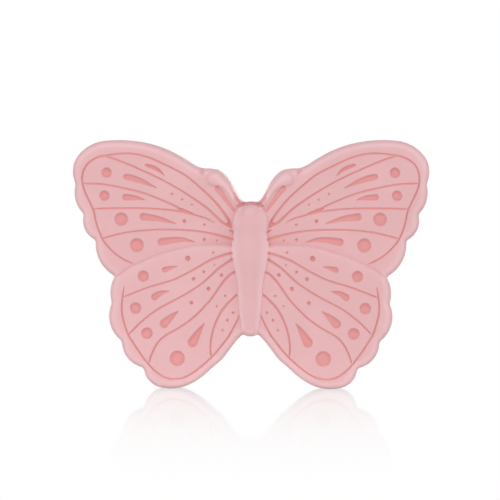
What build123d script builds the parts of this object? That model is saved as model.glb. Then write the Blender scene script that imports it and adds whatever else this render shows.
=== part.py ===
"""Pacifier clip with a moulded silicone butterfly face and a hinged lever grip.

Millimetres. +X is the wearer's view to the right, +Z is up and -Y is the front, where the
butterfly looks. The clip stands on the tips of its lower wings, at z = 0.
Depths are measured from the butterfly's flat back: forward is positive.
"""
import os

from build123d import *

# ---------------------------------------------------------------- butterfly
WINGSPAN = 66.0
WING_HEIGHT = 46.0
UPPER_WING_DEPTH = 4.2
LOWER_WING_DEPTH = 5.0
ANTENNA_DEPTH = 5.0
BODY_AXIS_DEPTH = 4.1
BODY_HALF_WIDTH = 3.4
RIM_ROUND = 1.2
BACK_ROUND = 0.4
CUSP_ROUND = 0.35
WING_SHOULDER_ROUND = 1.5
ANTENNA_ROUND = 0.5
ENGRAVING_DEPTH = 0.45
DROP_WAIST = 0.6
CUT_MARGIN = 1.0

# ---------------------------------------------------------------- core plate in its pocket
CORE_THICK = 1.8
CORE_CORNER = 4.0
CORE_CLEARANCE = 0.05
CORE_OVERHANG = 0.8
CORE_INSET = 1.1
LIP_THICK = 0.8
LIP_OVERLAP = 2.0

# ---------------------------------------------------------------- clip frame and its ears
FRAME_ABOVE_TAIL = 1.48
FRAME_BELOW_HEAD = 2.25
FRAME_THICK = 2.0
FRAME_CORNER = 4.5
FRAME_EDGE_ROUND = 0.5
FRAME_MARGIN = 1.2
EAR_THICK = 1.9
EAR_OVER_BARREL = 0.1
EAR_FOOT_BELOW = 1.32
EAR_FOOT_ABOVE = 0.44
EAR_FOOT_PROUD = 0.8

# ---------------------------------------------------------------- jaw, hinge and lever
HINGE_BELOW_TOP = 4.8
PIN_RADIUS = 0.8
PIN_RUNNING_CLEARANCE = 0.05
PIN_PRESS = 0.01
PIN_CHAMFER = 0.15
BARREL_WALL = 1.25
BARREL_WIDTH = 13.6
SIDE_CLEARANCE = 0.3
JAW_GAP = 0.2
NOSE_PROUD = 0.9
NOSE_HEIGHT = 3.4
NOSE_TOP = 0.4
HANDLE_FLARE = 1.0
HANDLE_THICK = 1.6
HANDLE_CORNER = 4.992
HANDLE_NECK = 1.6
HANDLE_ROOT = 5.2
HANDLE_ABOVE_FRAME_END = 0.4
HANDLE_EDGE_ROUND = 0.45
HANDLE_RIB_RADIUS = 0.35
HANDLE_RIB_PROUD = 0.2
HANDLE_RIB_PITCH = 1.6
HANDLE_RIB_COUNT = 4
HANDLE_RIB_START = 2.24
HANDLE_RIB_MARGIN = 3.51

# ---------------------------------------------------------------- soft grips
PAD_SIDE_GAP = 0.5
PAD_HEIGHT = 7.0
PAD_CORNER = 1.0
PAD_BASE = 0.8
PAD_PROUD = 0.8
GRIP_CLEARANCE = 0.03
RIDGE_PITCH = 1.0
RIDGE_HEIGHT = 0.4
RIDGE_ROOT = 0.1
RIDGE_INSET = 0.5
TEETH_SIDE_WALL = 1.0
TEETH_HEIGHT = 2.6
TEETH_SEAT = 1.0
TEETH_PROUD = 0.6
TEETH_PITCH = 0.8

# ---------------------------------------------------------------- cord eye
EYE_RADIUS = 1.5
EYE_WALL = 0.9
EYE_WIDTH = 6.0
EYE_FLOOR = 0.5
EYE_LIFT = 0.4

# ---------------------------------------------------------------- screws
SCREW_RADIUS = 0.9
SCREW_HEAD_RADIUS = 1.7
SCREW_HEAD_HEIGHT = 0.9
SCREW_END_FLOOR = 0.7
SCREW_CLEARANCE = 0.03
SCREW_OFFSET = 5.6
SCREW_BELOW_HINGE = 8.2
SLOT_WIDTH = 0.4
SLOT_DEPTH = 0.35

# ---------------------------------------------------------------- the butterfly's drawing
# It is drawn on a span and a height of its own, and brought to size by to_size.
DRAWN_SPAN = 66.0
DRAWN_HEIGHT = 46.0


def up(height):
    """A drawn height at the real size."""
    return height * WING_HEIGHT / DRAWN_HEIGHT


def to_size(points):
    """Drawn points (x, z) at the real size; what follows z, such as a radius, stays."""
    return [(x * WINGSPAN / DRAWN_SPAN, up(z), *rest) for x, z, *rest in points]


# Outline of one side as seen from the front, (x, z). Notches part the scallops.
WING_CREST = to_size([
    (1.2, 34.4), (2.0, 35.2), (3.6, 38.2), (5.3, 40.15), (7.0, 40.7), (9.0, 40.85), (12.3, 42.6),
    (17.0, 44.9), (22.0, 45.9), (26.0, 46.0), (29.4, 45.2), (31.9, 43.3), (33.0, 40.2),
    (32.5, 37.8)])
UPPER_SCALLOPS = [to_size(arc) for arc in (
    [(32.5, 37.8), (32.45, 34.7), (30.95, 32.3)],
    [(30.95, 32.3), (30.75, 29.3), (28.75, 27.5)],
    [(28.75, 27.5), (28.2, 23.9), (25.2, 20.8)])]
LOWER_SCALLOPS = [to_size(arc) for arc in (
    [(25.2, 20.8), (25.97, 18.3), (25.7, 15.9)],
    [(25.7, 15.9), (26.1, 12.2), (23.85, 8.8)],
    [(23.85, 8.8), (22.85, 5.7), (19.9, 3.9)])]
LOWER_TIP = to_size([
    (19.9, 3.9), (18.9, 1.45), (17.2, 0.32), (14.6, 0.0), (12.0, 0.46), (9.3, 1.94), (6.75, 4.16),
    (3.97, 7.1), (1.7, 10.0)])
OVERLAP_EDGE = to_size([(2.4, 26.5), (9.0, 26.7), (15.0, 25.6), (20.5, 23.5), (25.2, 20.8)])
UPPER_WING_ROOT = to_size([(25.2, 20.8), (22.0, 18.5), (8.0, 16.0)])
HEAD_DOME = up(34.65)
TAIL_NOTCH = up(10.45)
HEAD_RADIUS = 2.85
NECK_HEIGHT = up(29.2)
THORAX_HEIGHT = up(25.8)
WAIST = (2.6, up(21.8))
ABDOMEN = (2.0, up(16.0))
TAIL_RADIUS = 1.45
BODY_TOP = up(34.0)
BODY_BOTTOM = up(9.72)
ANTENNA_ROOT = to_size([(2.4, 33.4, 1.0)])[0]
ANTENNA_BALL = to_size([(6.8, 38.9, 1.7)])[0]

# Engraved dots (x, z, radius), and teardrops as tail, middle, head and the head's radius.
UPPER_DOTS = to_size([
    (26.6, 40.0, 0.97), (27.0, 35.75, 0.95), (23.9, 31.4, 1.25), (21.0, 26.6, 1.3),
    (12.2, 31.05, 0.35), (8.5, 30.4, 0.25), (8.5, 27.65, 0.3), (14.5, 36.05, 0.25)])
LOWER_DOTS = to_size([
    (13.5, 5.7, 1.42), (19.1, 10.35, 1.08), (21.2, 15.0, 1.06), (19.75, 20.9, 1.05),
    (11.5, 24.2, 0.5), (10.45, 20.4, 0.35), (5.3, 21.15, 0.35), (7.7, 18.6, 0.38),
    (10.85, 16.0, 0.35)])
UPPER_DROPS = [to_size(drop) for drop in (
    [(15.8, 39.5), (17.5, 40.75), (19.0, 41.3, 0.25)],
    [(17.4, 37.2), (20.0, 38.4), (23.0, 39.2, 0.45)],
    [(19.6, 35.0), (21.4, 35.35), (23.1, 35.5, 0.5)],
    [(13.85, 30.6), (17.0, 31.5), (19.8, 31.85, 0.6)],
    [(10.3, 27.2), (13.8, 27.75), (16.5, 27.3, 0.6)])]
LOWER_DROPS = [to_size(drop) for drop in (
    [(13.5, 22.7), (14.7, 22.45), (15.8, 22.1, 0.45)],
    [(15.0, 18.1), (16.6, 17.75), (17.7, 17.0, 0.55)],
    [(13.3, 14.4), (14.7, 13.4), (15.9, 12.15, 0.72)],
    [(8.5, 12.15), (9.6, 10.5), (10.6, 8.7, 0.8)])]

# ---------------------------------------------------------------- worked out
FRAME_BOTTOM = BODY_BOTTOM + FRAME_ABOVE_TAIL
FRAME_TOP = HEAD_DOME - FRAME_BELOW_HEAD
FRAME_WIDTH = BARREL_WIDTH + 2 * (SIDE_CLEARANCE + EAR_THICK + FRAME_MARGIN)
CORE_WIDTH = FRAME_WIDTH + 2 * CORE_OVERHANG
CORE_HEIGHT = FRAME_TOP - FRAME_BOTTOM - 2 * CORE_INSET
CORE_CENTRE_Z = (FRAME_BOTTOM + FRAME_TOP) / 2
POCKET_DEPTH = LIP_THICK + CORE_THICK
BARREL_RADIUS = PIN_RADIUS + PIN_RUNNING_CLEARANCE + BARREL_WALL
EAR_RADIUS = BARREL_RADIUS + EAR_OVER_BARREL
NOSE_REACH = BARREL_RADIUS + NOSE_PROUD
JAW_REACH = NOSE_REACH + TEETH_PROUD
PAD_WIDTH = BARREL_WIDTH - 2 * PAD_SIDE_GAP
TEETH_WIDTH = BARREL_WIDTH - 2 * TEETH_SIDE_WALL
HANDLE_WIDTH = BARREL_WIDTH + 2 * HANDLE_FLARE
HANDLE_END = FRAME_BOTTOM + HANDLE_ABOVE_FRAME_END
HINGE_HEIGHT = FRAME_TOP - HINGE_BELOW_TOP
SCREW_HEIGHT = HINGE_HEIGHT - SCREW_BELOW_HINGE
SCREW_LENGTH = FRAME_THICK + POCKET_DEPTH - SCREW_END_FLOOR
PAD_FACE = FRAME_THICK + PAD_PROUD
HINGE_BEHIND = PAD_FACE + JAW_GAP + JAW_REACH
BODY_FRONT = BODY_AXIS_DEPTH + BODY_HALF_WIDTH
HANDLE_BEHIND = HINGE_BEHIND + BARREL_RADIUS
CLIP_BEHIND = max(HINGE_BEHIND + EAR_RADIUS, HANDLE_BEHIND + HANDLE_RIB_PROUD)
BACK_Y = (BODY_FRONT - CLIP_BEHIND) / 2


def front_plane(depth):
    """The plane parallel to the butterfly's back, that far in front of it."""
    return Plane.XZ.offset(depth - BACK_Y)


def slab(sketch, start, stop):
    """Extrude a front-view sketch from one depth to another."""
    return extrude(front_plane(start) * sketch, amount=stop - start)


def block(width, z_low, z_high, start, stop, centre_x=0.0):
    """A box given by its width, its heights and its two depths."""
    sketch = Pos(centre_x, (z_low + z_high) / 2) * Rectangle(width, z_high - z_low)
    return slab(sketch, start, stop)


def rounded_panel(width, z_low, z_high, corner, start, stop):
    """A panel with rounded corners."""
    shape = RectangleRounded(width, z_high - z_low, corner)
    return slab(Pos(0, (z_low + z_high) / 2) * shape, start, stop)


def rod(radius, width, behind, height, centre_x=0.0):
    """A cylinder along X, at a distance behind the butterfly's back."""
    axis = Pos(centre_x, BACK_Y + behind, height) * Rot(0, 90, 0)
    return axis * Cylinder(radius, width)


def closed_outline(bridges, edges):
    """A symmetric face from the edges that cross the middle and those of its right half."""
    left = [mirror(edge, about=Plane.YZ) for edge in edges]
    return make_face(Curve() + bridges + edges + left)


def across(end, middle_height):
    """An arc over the middle, between a point on the right and its mirror image."""
    return ThreePointArc((-end[0], end[1]), (0, middle_height), end)


def round_points(sketch, points, radius):
    """Round the outline at the given points and at their mirror images."""
    for x, z in points:
        near = [v for v in sketch.vertices() if abs(abs(v.X) - x) < 0.01 and abs(v.Y - z) < 0.01]
        sketch = fillet(near, radius)
    return sketch


def rounded_slab(sketch, depth):
    """A slab with a generous round on its front edge and a small one on its back edge."""
    solid = slab(sketch, 0, depth)
    front = solid.edges().group_by(Axis.Y)[0]
    solid = fillet(front, RIM_ROUND)
    back = solid.edges().group_by(Axis.Y)[-1]
    return fillet(back, BACK_ROUND)


def upper_wings():
    """Both upper wings and the antenna fields, down to their root under the lower wings."""
    root_x, root_z = UPPER_WING_ROOT[-1]
    bridges = [across(WING_CREST[0], HEAD_DOME), Line((-root_x, root_z), (root_x, root_z))]
    edges = [Spline(*WING_CREST)]
    edges += [ThreePointArc(*points) for points in UPPER_SCALLOPS]
    edges.append(Polyline(*UPPER_WING_ROOT))
    sketch = closed_outline(bridges, edges)
    notches = [WING_CREST[0], UPPER_SCALLOPS[0][0], UPPER_SCALLOPS[1][0], UPPER_SCALLOPS[2][0]]
    sketch = round_points(sketch, notches, CUSP_ROUND)
    sketch = round_points(sketch, UPPER_WING_ROOT[:1], WING_SHOULDER_ROUND)
    return rounded_slab(sketch, UPPER_WING_DEPTH)


def lower_wings():
    """Both lower wings, whose upper edge lies over the upper wings."""
    neck_x, neck_z = OVERLAP_EDGE[0]
    bridges = [Line((-neck_x, neck_z), (neck_x, neck_z)), across(LOWER_TIP[-1], TAIL_NOTCH)]
    edges = [Spline(*OVERLAP_EDGE, tangents=((1, 0), (1, -0.75)))]
    edges += [ThreePointArc(*points) for points in LOWER_SCALLOPS]
    edges.append(Spline(*LOWER_TIP))
    sketch = closed_outline(bridges, edges)
    notches = [LOWER_SCALLOPS[1][0], LOWER_SCALLOPS[2][0], LOWER_TIP[0], LOWER_TIP[-1]]
    sketch = round_points(sketch, notches, CUSP_ROUND)
    sketch = round_points(sketch, OVERLAP_EDGE[-1:], WING_SHOULDER_ROUND)
    return rounded_slab(sketch, LOWER_WING_DEPTH)


def body():
    """Head, thorax and abdomen, turned about an upright axis inside the wings."""
    head_centre = BODY_TOP - HEAD_RADIUS
    tail_centre = BODY_BOTTOM + TAIL_RADIUS
    neck = (HEAD_RADIUS, NECK_HEIGHT)
    side = [CenterArc((0, head_centre), HEAD_RADIUS, 0, 90),
            Line((HEAD_RADIUS, head_centre), neck),
            ThreePointArc(neck, (BODY_HALF_WIDTH, THORAX_HEIGHT), WAIST),
            Polyline(WAIST, ABDOMEN, (TAIL_RADIUS, tail_centre)),
            CenterArc((0, tail_centre), TAIL_RADIUS, -90, 90),
            Line((0, BODY_BOTTOM), (0, BODY_TOP))]
    profile = make_face(Curve() + side)
    return Pos(0, BACK_Y - BODY_AXIS_DEPTH, 0) * revolve(Plane.XZ * profile, Axis.Z, 360)


def antenna(side):
    """One antenna: a tapered lobe with a ball end."""
    circles = [Pos(side * x, z) * Circle(radius) for x, z, radius in (ANTENNA_ROOT, ANTENNA_BALL)]
    lobe = slab(make_hull((circles[0] + circles[1]).edges()), 0, ANTENNA_DEPTH)
    return fillet(lobe.edges().group_by(Axis.Y)[0], ANTENNA_ROUND)


def drop_sketch(points, side):
    """A teardrop outline from its tail to its round head."""
    tail, middle, head = [Vector(side * point[0], point[1]) for point in points]
    radius = points[-1][2]
    along = (head - middle).normalized()
    across = Vector(-along.Y, along.X) * radius
    half = (middle - tail).normalized()
    waist = Vector(-half.Y, half.X) * (radius * DROP_WAIST)
    outline = [Spline(tail, middle + waist, head + across),
               ThreePointArc(head + across, head + along * radius, head - across),
               Spline(head - across, middle - waist, tail)]
    return make_face(Curve() + outline)


def engraving(dots, drops, depth):
    """The solids to cut for the dots and teardrops of both wings of one pair."""
    cutters = []
    for side in (-1, 1):
        for x, z, radius in dots:
            dot = Pos(side * x, z) * Circle(radius)
            cutters.append(slab(dot, depth - ENGRAVING_DEPTH, depth + CUT_MARGIN))
        for drop in drops:
            sketch = drop_sketch(drop, side)
            cutters.append(slab(sketch, depth - ENGRAVING_DEPTH, depth + CUT_MARGIN))
    return cutters


def pocket():
    """The space for the core plate, with the smaller opening left by the retaining lip."""
    gap = CORE_CLEARANCE
    low, high = CORE_CENTRE_Z - CORE_HEIGHT / 2, CORE_CENTRE_Z + CORE_HEIGHT / 2
    chamber = rounded_panel(CORE_WIDTH + 2 * gap, low - gap, high + gap, CORE_CORNER + gap,
                            LIP_THICK, POCKET_DEPTH + gap)
    inset = LIP_OVERLAP - gap
    mouth = rounded_panel(CORE_WIDTH - 2 * inset, low + inset, high - inset,
                          CORE_CORNER - inset, -CUT_MARGIN, LIP_THICK + gap)
    return chamber + mouth


def butterfly_face():
    """The silicone moulding: wings, antennae and body in one, with its pocket behind."""
    solid = upper_wings() + lower_wings() + antenna(-1) + antenna(1) + body()
    solid -= pocket()
    for cutter in engraving(UPPER_DOTS, UPPER_DROPS, UPPER_WING_DEPTH):
        solid -= cutter
    for cutter in engraving(LOWER_DOTS, LOWER_DROPS, LOWER_WING_DEPTH):
        solid -= cutter
    return solid


def screw_places():
    """The side and the X of each screw."""
    return {"left": -SCREW_OFFSET, "right": SCREW_OFFSET}


def screw_shape(centre_x, grow):
    """A countersunk screw that enters from behind, or the hole that it needs."""
    head_y = BACK_Y + FRAME_THICK
    seat = (Align.CENTER, Align.CENTER, Align.MIN)
    shank = Cylinder(SCREW_RADIUS + grow, SCREW_LENGTH + grow, align=seat)
    head = Cone(SCREW_HEAD_RADIUS + grow, SCREW_RADIUS + grow, SCREW_HEAD_HEIGHT, align=seat)
    return Pos(centre_x, head_y, SCREW_HEIGHT) * Rot(90, 0, 0) * (shank + head)


def core_plate():
    """The stiff plate inside the silicone, raised where the lip leaves it open."""
    low, high = CORE_CENTRE_Z - CORE_HEIGHT / 2, CORE_CENTRE_Z + CORE_HEIGHT / 2
    base = rounded_panel(CORE_WIDTH, low, high, CORE_CORNER, LIP_THICK, POCKET_DEPTH)
    inset = LIP_OVERLAP
    raised = rounded_panel(CORE_WIDTH - 2 * inset, low + inset, high - inset,
                           CORE_CORNER - inset, 0, LIP_THICK)
    solid = base + raised
    for centre_x in screw_places().values():
        solid -= screw_shape(centre_x, SCREW_CLEARANCE)
    return solid


def ear(side):
    """One hinge ear, a round-ended web standing behind the frame's plate."""
    inner = BARREL_WIDTH / 2 + SIDE_CLEARANCE
    centre_x = side * (inner + EAR_THICK / 2)
    web = block(EAR_THICK, HINGE_HEIGHT - EAR_RADIUS, HINGE_HEIGHT + EAR_RADIUS,
                -HINGE_BEHIND, -FRAME_THICK / 2, centre_x)
    foot = block(EAR_THICK, HINGE_HEIGHT - EAR_RADIUS - EAR_FOOT_BELOW,
                 HINGE_HEIGHT + EAR_RADIUS + EAR_FOOT_ABOVE,
                 -FRAME_THICK - EAR_FOOT_PROUD, -FRAME_THICK / 2, centre_x)
    return web + foot + rod(EAR_RADIUS, EAR_THICK, HINGE_BEHIND, HINGE_HEIGHT, centre_x)


def eye_place():
    """How far behind the butterfly's back, and how high, the cord eye's axis lies."""
    return FRAME_THICK + EYE_FLOOR + EYE_RADIUS, FRAME_BOTTOM + EYE_LIFT + EYE_WALL + EYE_RADIUS


def cord_eye():
    """The lug and its cross hole, before the hole is cut."""
    behind, height = eye_place()
    outer = EYE_RADIUS + EYE_WALL
    lug = rod(outer, EYE_WIDTH, behind, height)
    foot = block(EYE_WIDTH, height - outer, height + outer, -behind, -FRAME_THICK / 2)
    return lug + foot


def grip_seat(grow):
    """The pad's base, or the recess in the frame that it is glued into."""
    low = HINGE_HEIGHT - PAD_HEIGHT / 2 - grow
    high = HINGE_HEIGHT + PAD_HEIGHT / 2 + grow
    return rounded_panel(PAD_WIDTH + 2 * grow, low, high, PAD_CORNER + grow,
                         -FRAME_THICK, PAD_BASE - FRAME_THICK)


def clip_frame():
    """The rigid frame: plate, hinge ears and cord eye in one moulding."""
    plate = rounded_panel(FRAME_WIDTH, FRAME_BOTTOM, FRAME_TOP, FRAME_CORNER, -FRAME_THICK, 0)
    plate = fillet(plate.edges().group_by(Axis.Y)[-1], FRAME_EDGE_ROUND)
    solid = plate + ear(-1) + ear(1) + cord_eye()
    behind, height = eye_place()
    solid -= rod(EYE_RADIUS, 2 * EYE_WIDTH, behind, height)
    solid -= rod(PIN_RADIUS - PIN_PRESS, 2 * FRAME_WIDTH, HINGE_BEHIND, HINGE_HEIGHT)
    solid -= grip_seat(GRIP_CLEARANCE)
    for centre_x in screw_places().values():
        solid -= screw_shape(centre_x, SCREW_CLEARANCE)
    return solid


def frame_grip_pad():
    """The soft pad in the frame's recess, ribbed across so that cloth can't slide."""
    low = HINGE_HEIGHT - PAD_HEIGHT / 2
    bed = rounded_panel(PAD_WIDTH, low, low + PAD_HEIGHT, PAD_CORNER,
                        -(PAD_FACE - RIDGE_HEIGHT), -FRAME_THICK)
    solid = grip_seat(0) + bed
    count = int(PAD_HEIGHT / RIDGE_PITCH)
    for index in range(count):
        height = HINGE_HEIGHT + (index - (count - 1) / 2) * RIDGE_PITCH
        solid += ridge(PAD_WIDTH - 2 * RIDGE_INSET, height, PAD_FACE - RIDGE_HEIGHT, 1)
    return solid


def ridge(width, height, behind, direction):
    """A small triangular ridge along X that stands on a face, pointing back or forward."""
    half = RIDGE_PITCH / 2
    base_y, tip_y = BACK_Y + behind, BACK_Y + behind + direction * RIDGE_HEIGHT
    root_y = base_y - direction * RIDGE_ROOT
    outline = Polyline((root_y, height - half), (base_y, height - half), (tip_y, height),
                       (base_y, height + half), (root_y, height + half), close=True)
    bar = extrude(Plane.YZ * make_face(outline), amount=width / 2, both=True)
    return bar


def lever():
    """The lever: hinge barrel, cam nose towards the plate and a handle that hangs down."""
    barrel = rod(BARREL_RADIUS, BARREL_WIDTH, HINGE_BEHIND, HINGE_HEIGHT)
    nose = block(BARREL_WIDTH, HINGE_HEIGHT + NOSE_TOP - NOSE_HEIGHT, HINGE_HEIGHT + NOSE_TOP,
                 -HINGE_BEHIND, NOSE_REACH - HINGE_BEHIND)
    solid = barrel + nose + handle()
    solid -= rod(PIN_RADIUS + PIN_RUNNING_CLEARANCE, 2 * BARREL_WIDTH, HINGE_BEHIND, HINGE_HEIGHT)
    solid -= teeth_seat(GRIP_CLEARANCE)
    return solid


def handle():
    """The finger plate, with ribs for the fingertip near its free end."""
    inner = HANDLE_BEHIND - HANDLE_THICK
    top = HINGE_HEIGHT
    neck = top - EAR_RADIUS - HANDLE_NECK
    root_end = neck - HANDLE_ROOT
    plate = Pos(0, (neck + HANDLE_END) / 2) * RectangleRounded(
        HANDLE_WIDTH, neck - HANDLE_END, HANDLE_CORNER)
    root = Pos(0, (top + root_end) / 2) * Rectangle(BARREL_WIDTH, top - root_end)
    solid = slab(plate + root, -HANDLE_BEHIND, -inner)
    solid = fillet(solid.edges().group_by(Axis.Y)[-1], HANDLE_EDGE_ROUND)
    rib_behind = HANDLE_BEHIND + HANDLE_RIB_PROUD - HANDLE_RIB_RADIUS
    for index in range(HANDLE_RIB_COUNT):
        height = HANDLE_END + HANDLE_RIB_START + index * HANDLE_RIB_PITCH
        solid += rod(HANDLE_RIB_RADIUS, HANDLE_WIDTH - 2 * HANDLE_RIB_MARGIN, rib_behind, height)
    return solid


def teeth_seat(grow):
    """The base of the toothed strip, or the recess in the nose that holds it."""
    low = HINGE_HEIGHT + NOSE_TOP - NOSE_HEIGHT / 2 - TEETH_HEIGHT / 2 - grow
    return block(TEETH_WIDTH + 2 * grow, low, low + TEETH_HEIGHT + 2 * grow,
                 NOSE_REACH - HINGE_BEHIND - TEETH_SEAT - grow, NOSE_REACH - HINGE_BEHIND)


def lever_grip_teeth():
    """The soft toothed strip in the lever's nose."""
    solid = teeth_seat(0)
    middle = HINGE_HEIGHT + NOSE_TOP - NOSE_HEIGHT / 2
    low, high = middle - TEETH_HEIGHT / 2, middle + TEETH_HEIGHT / 2
    flat = JAW_REACH - RIDGE_HEIGHT
    solid += block(TEETH_WIDTH, low, high, NOSE_REACH - HINGE_BEHIND, flat - HINGE_BEHIND)
    count = int(TEETH_HEIGHT / TEETH_PITCH)
    for index in range(count):
        height = middle + (index - (count - 1) / 2) * TEETH_PITCH
        solid += ridge(TEETH_WIDTH, height, HINGE_BEHIND - flat, -1)
    return solid


def hinge_pin():
    """The straight pin, pressed into both ears; the lever turns on it."""
    width = BARREL_WIDTH + 2 * SIDE_CLEARANCE + 2 * EAR_THICK
    pin = rod(PIN_RADIUS, width, HINGE_BEHIND, HINGE_HEIGHT)
    return chamfer(pin.edges(), PIN_CHAMFER)


def frame_screw(centre_x):
    """A countersunk screw with a straight slot."""
    slot = Pos(centre_x, BACK_Y + FRAME_THICK, SCREW_HEIGHT) * Box(
        2 * SCREW_HEAD_RADIUS + CUT_MARGIN, 2 * SLOT_DEPTH, SLOT_WIDTH)
    return screw_shape(centre_x, 0) - slot


def main():
    """Build every piece and write each to its own file."""
    pieces = {
        "butterfly_face": butterfly_face(),
        "core_plate": core_plate(),
        "clip_frame": clip_frame(),
        "frame_grip_pad": frame_grip_pad(),
        "lever": lever(),
        "lever_grip_teeth": lever_grip_teeth(),
        "hinge_pin": hinge_pin(),
    }
    for side, centre_x in screw_places().items():
        pieces["frame_screw_" + side] = frame_screw(centre_x)
    os.makedirs("parts", exist_ok=True)
    for name, solid in pieces.items():
        export_step(solid, os.path.join("parts", name + ".step"))
        box = solid.bounding_box()
        print(name, len(solid.solids()), round(solid.volume, 2), box.min, box.max)


main()
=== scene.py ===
import math

import bpy
import numpy as np
from bpy.props import FloatProperty, FloatVectorProperty, PointerProperty
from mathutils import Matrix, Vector, geometry, kdtree


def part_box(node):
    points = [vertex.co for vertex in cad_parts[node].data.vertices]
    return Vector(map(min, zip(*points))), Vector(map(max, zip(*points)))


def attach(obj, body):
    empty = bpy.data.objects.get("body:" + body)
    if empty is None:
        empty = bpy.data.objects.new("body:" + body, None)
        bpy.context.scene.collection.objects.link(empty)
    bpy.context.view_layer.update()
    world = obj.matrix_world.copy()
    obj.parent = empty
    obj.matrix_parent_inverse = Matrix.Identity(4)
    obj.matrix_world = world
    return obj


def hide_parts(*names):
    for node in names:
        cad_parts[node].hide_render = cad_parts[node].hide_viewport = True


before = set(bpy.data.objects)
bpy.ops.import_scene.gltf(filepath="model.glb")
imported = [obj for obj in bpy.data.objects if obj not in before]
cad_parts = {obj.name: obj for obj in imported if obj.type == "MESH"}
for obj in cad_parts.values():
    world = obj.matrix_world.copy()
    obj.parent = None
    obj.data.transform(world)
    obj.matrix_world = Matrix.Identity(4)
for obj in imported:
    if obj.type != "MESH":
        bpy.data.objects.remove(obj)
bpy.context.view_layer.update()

bl_info = {
    "name": "Butterfly Pacifier Clip",
    "version": (1, 0, 0),
    "blender": (4, 5, 0),
    "location": "View3D > Sidebar > Pacifier Clip",
    "description": "Builds the looks of a silicone butterfly clip around its packed model",
    "category": "Object",
}

MM = 0.001
BACK_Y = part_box("butterfly_face")[1].y / MM
TINY = 1e-6
WHITE = (1, 1, 1, 1)

# --- the butterfly's drawing
# Right side seen from the front, (x, z) in millimetres; the left side is its mirror image.
HEAD_EDGE = ((0.0, 34.65), (0.62, 34.6), (1.2, 34.45))
WING_CREST = [(1.2, 34.45), (2.0, 35.2), (3.0, 36.9), (3.7, 38.3), (4.9, 39.75), (5.9, 40.45),
              (7.4, 40.75), (9.0, 40.85), (10.2, 41.3), (12.3, 42.6), (15.1, 44.1), (18.5, 45.3),
              (22.0, 45.9), (25.5, 46.0), (28.6, 45.55), (31.15, 44.1), (32.6, 42.2),
              (33.0, 39.9), (32.5, 37.8)]
SCALLOPS = [((32.5, 37.8), (32.45, 34.7), (30.95, 32.3)),
            ((30.95, 32.3), (30.7, 29.3), (28.75, 27.5)),
            ((28.75, 27.5), (28.15, 23.9), (25.2, 20.8)),
            ((25.2, 20.8), (25.97, 18.3), (25.7, 15.9)),
            ((25.7, 15.9), (26.1, 12.2), (23.85, 8.8)),
            ((23.85, 8.8), (22.85, 5.7), (19.9, 3.9))]
LOWER_TIP = [(19.9, 3.9), (19.2, 1.95), (17.6, 0.5), (15.6, 0.04), (14.2, 0.0), (12.0, 0.46),
             (9.3, 1.94), (6.75, 4.16), (5.1, 5.6), (3.97, 7.1), (2.5, 9.0), (1.35, 10.2)]
TAIL_EDGE = ((1.35, 10.2), (0.85, 9.84), (0.0, 9.72))
OVERLAP_EDGE = [(0.0, 26.3), (3.2, 26.55), (6.0, 26.75), (9.0, 26.7), (12.0, 26.35),
                (15.0, 25.6), (18.0, 24.6), (20.5, 23.5), (22.5, 22.5), (25.2, 20.8), (28.0, 20.0)]
# Body half width at each height, from the top of the head to the tip of the tail.
BODY_SIDE = [(0.0, 34.05), (1.2, 33.85), (2.1, 33.3), (2.75, 32.4), (3.1, 31.3), (3.15, 30.1),
             (3.06, 29.2), (3.18, 28.1), (3.4, 27.0), (3.46, 25.8), (3.33, 24.2), (2.8, 22.1),
             (2.36, 20.0), (2.18, 17.5), (2.0, 15.0), (1.76, 12.8), (1.52, 11.2), (1.25, 10.35),
             (0.7, 9.85), (0.0, 9.72)]
ANTENNA = [(1.75, 33.5, 1.1), (3.15, 35.85, 1.18), (4.05, 37.05, 1.2), (5.2, 38.15, 1.3),
           (6.6, 38.9, 1.74)]

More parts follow.
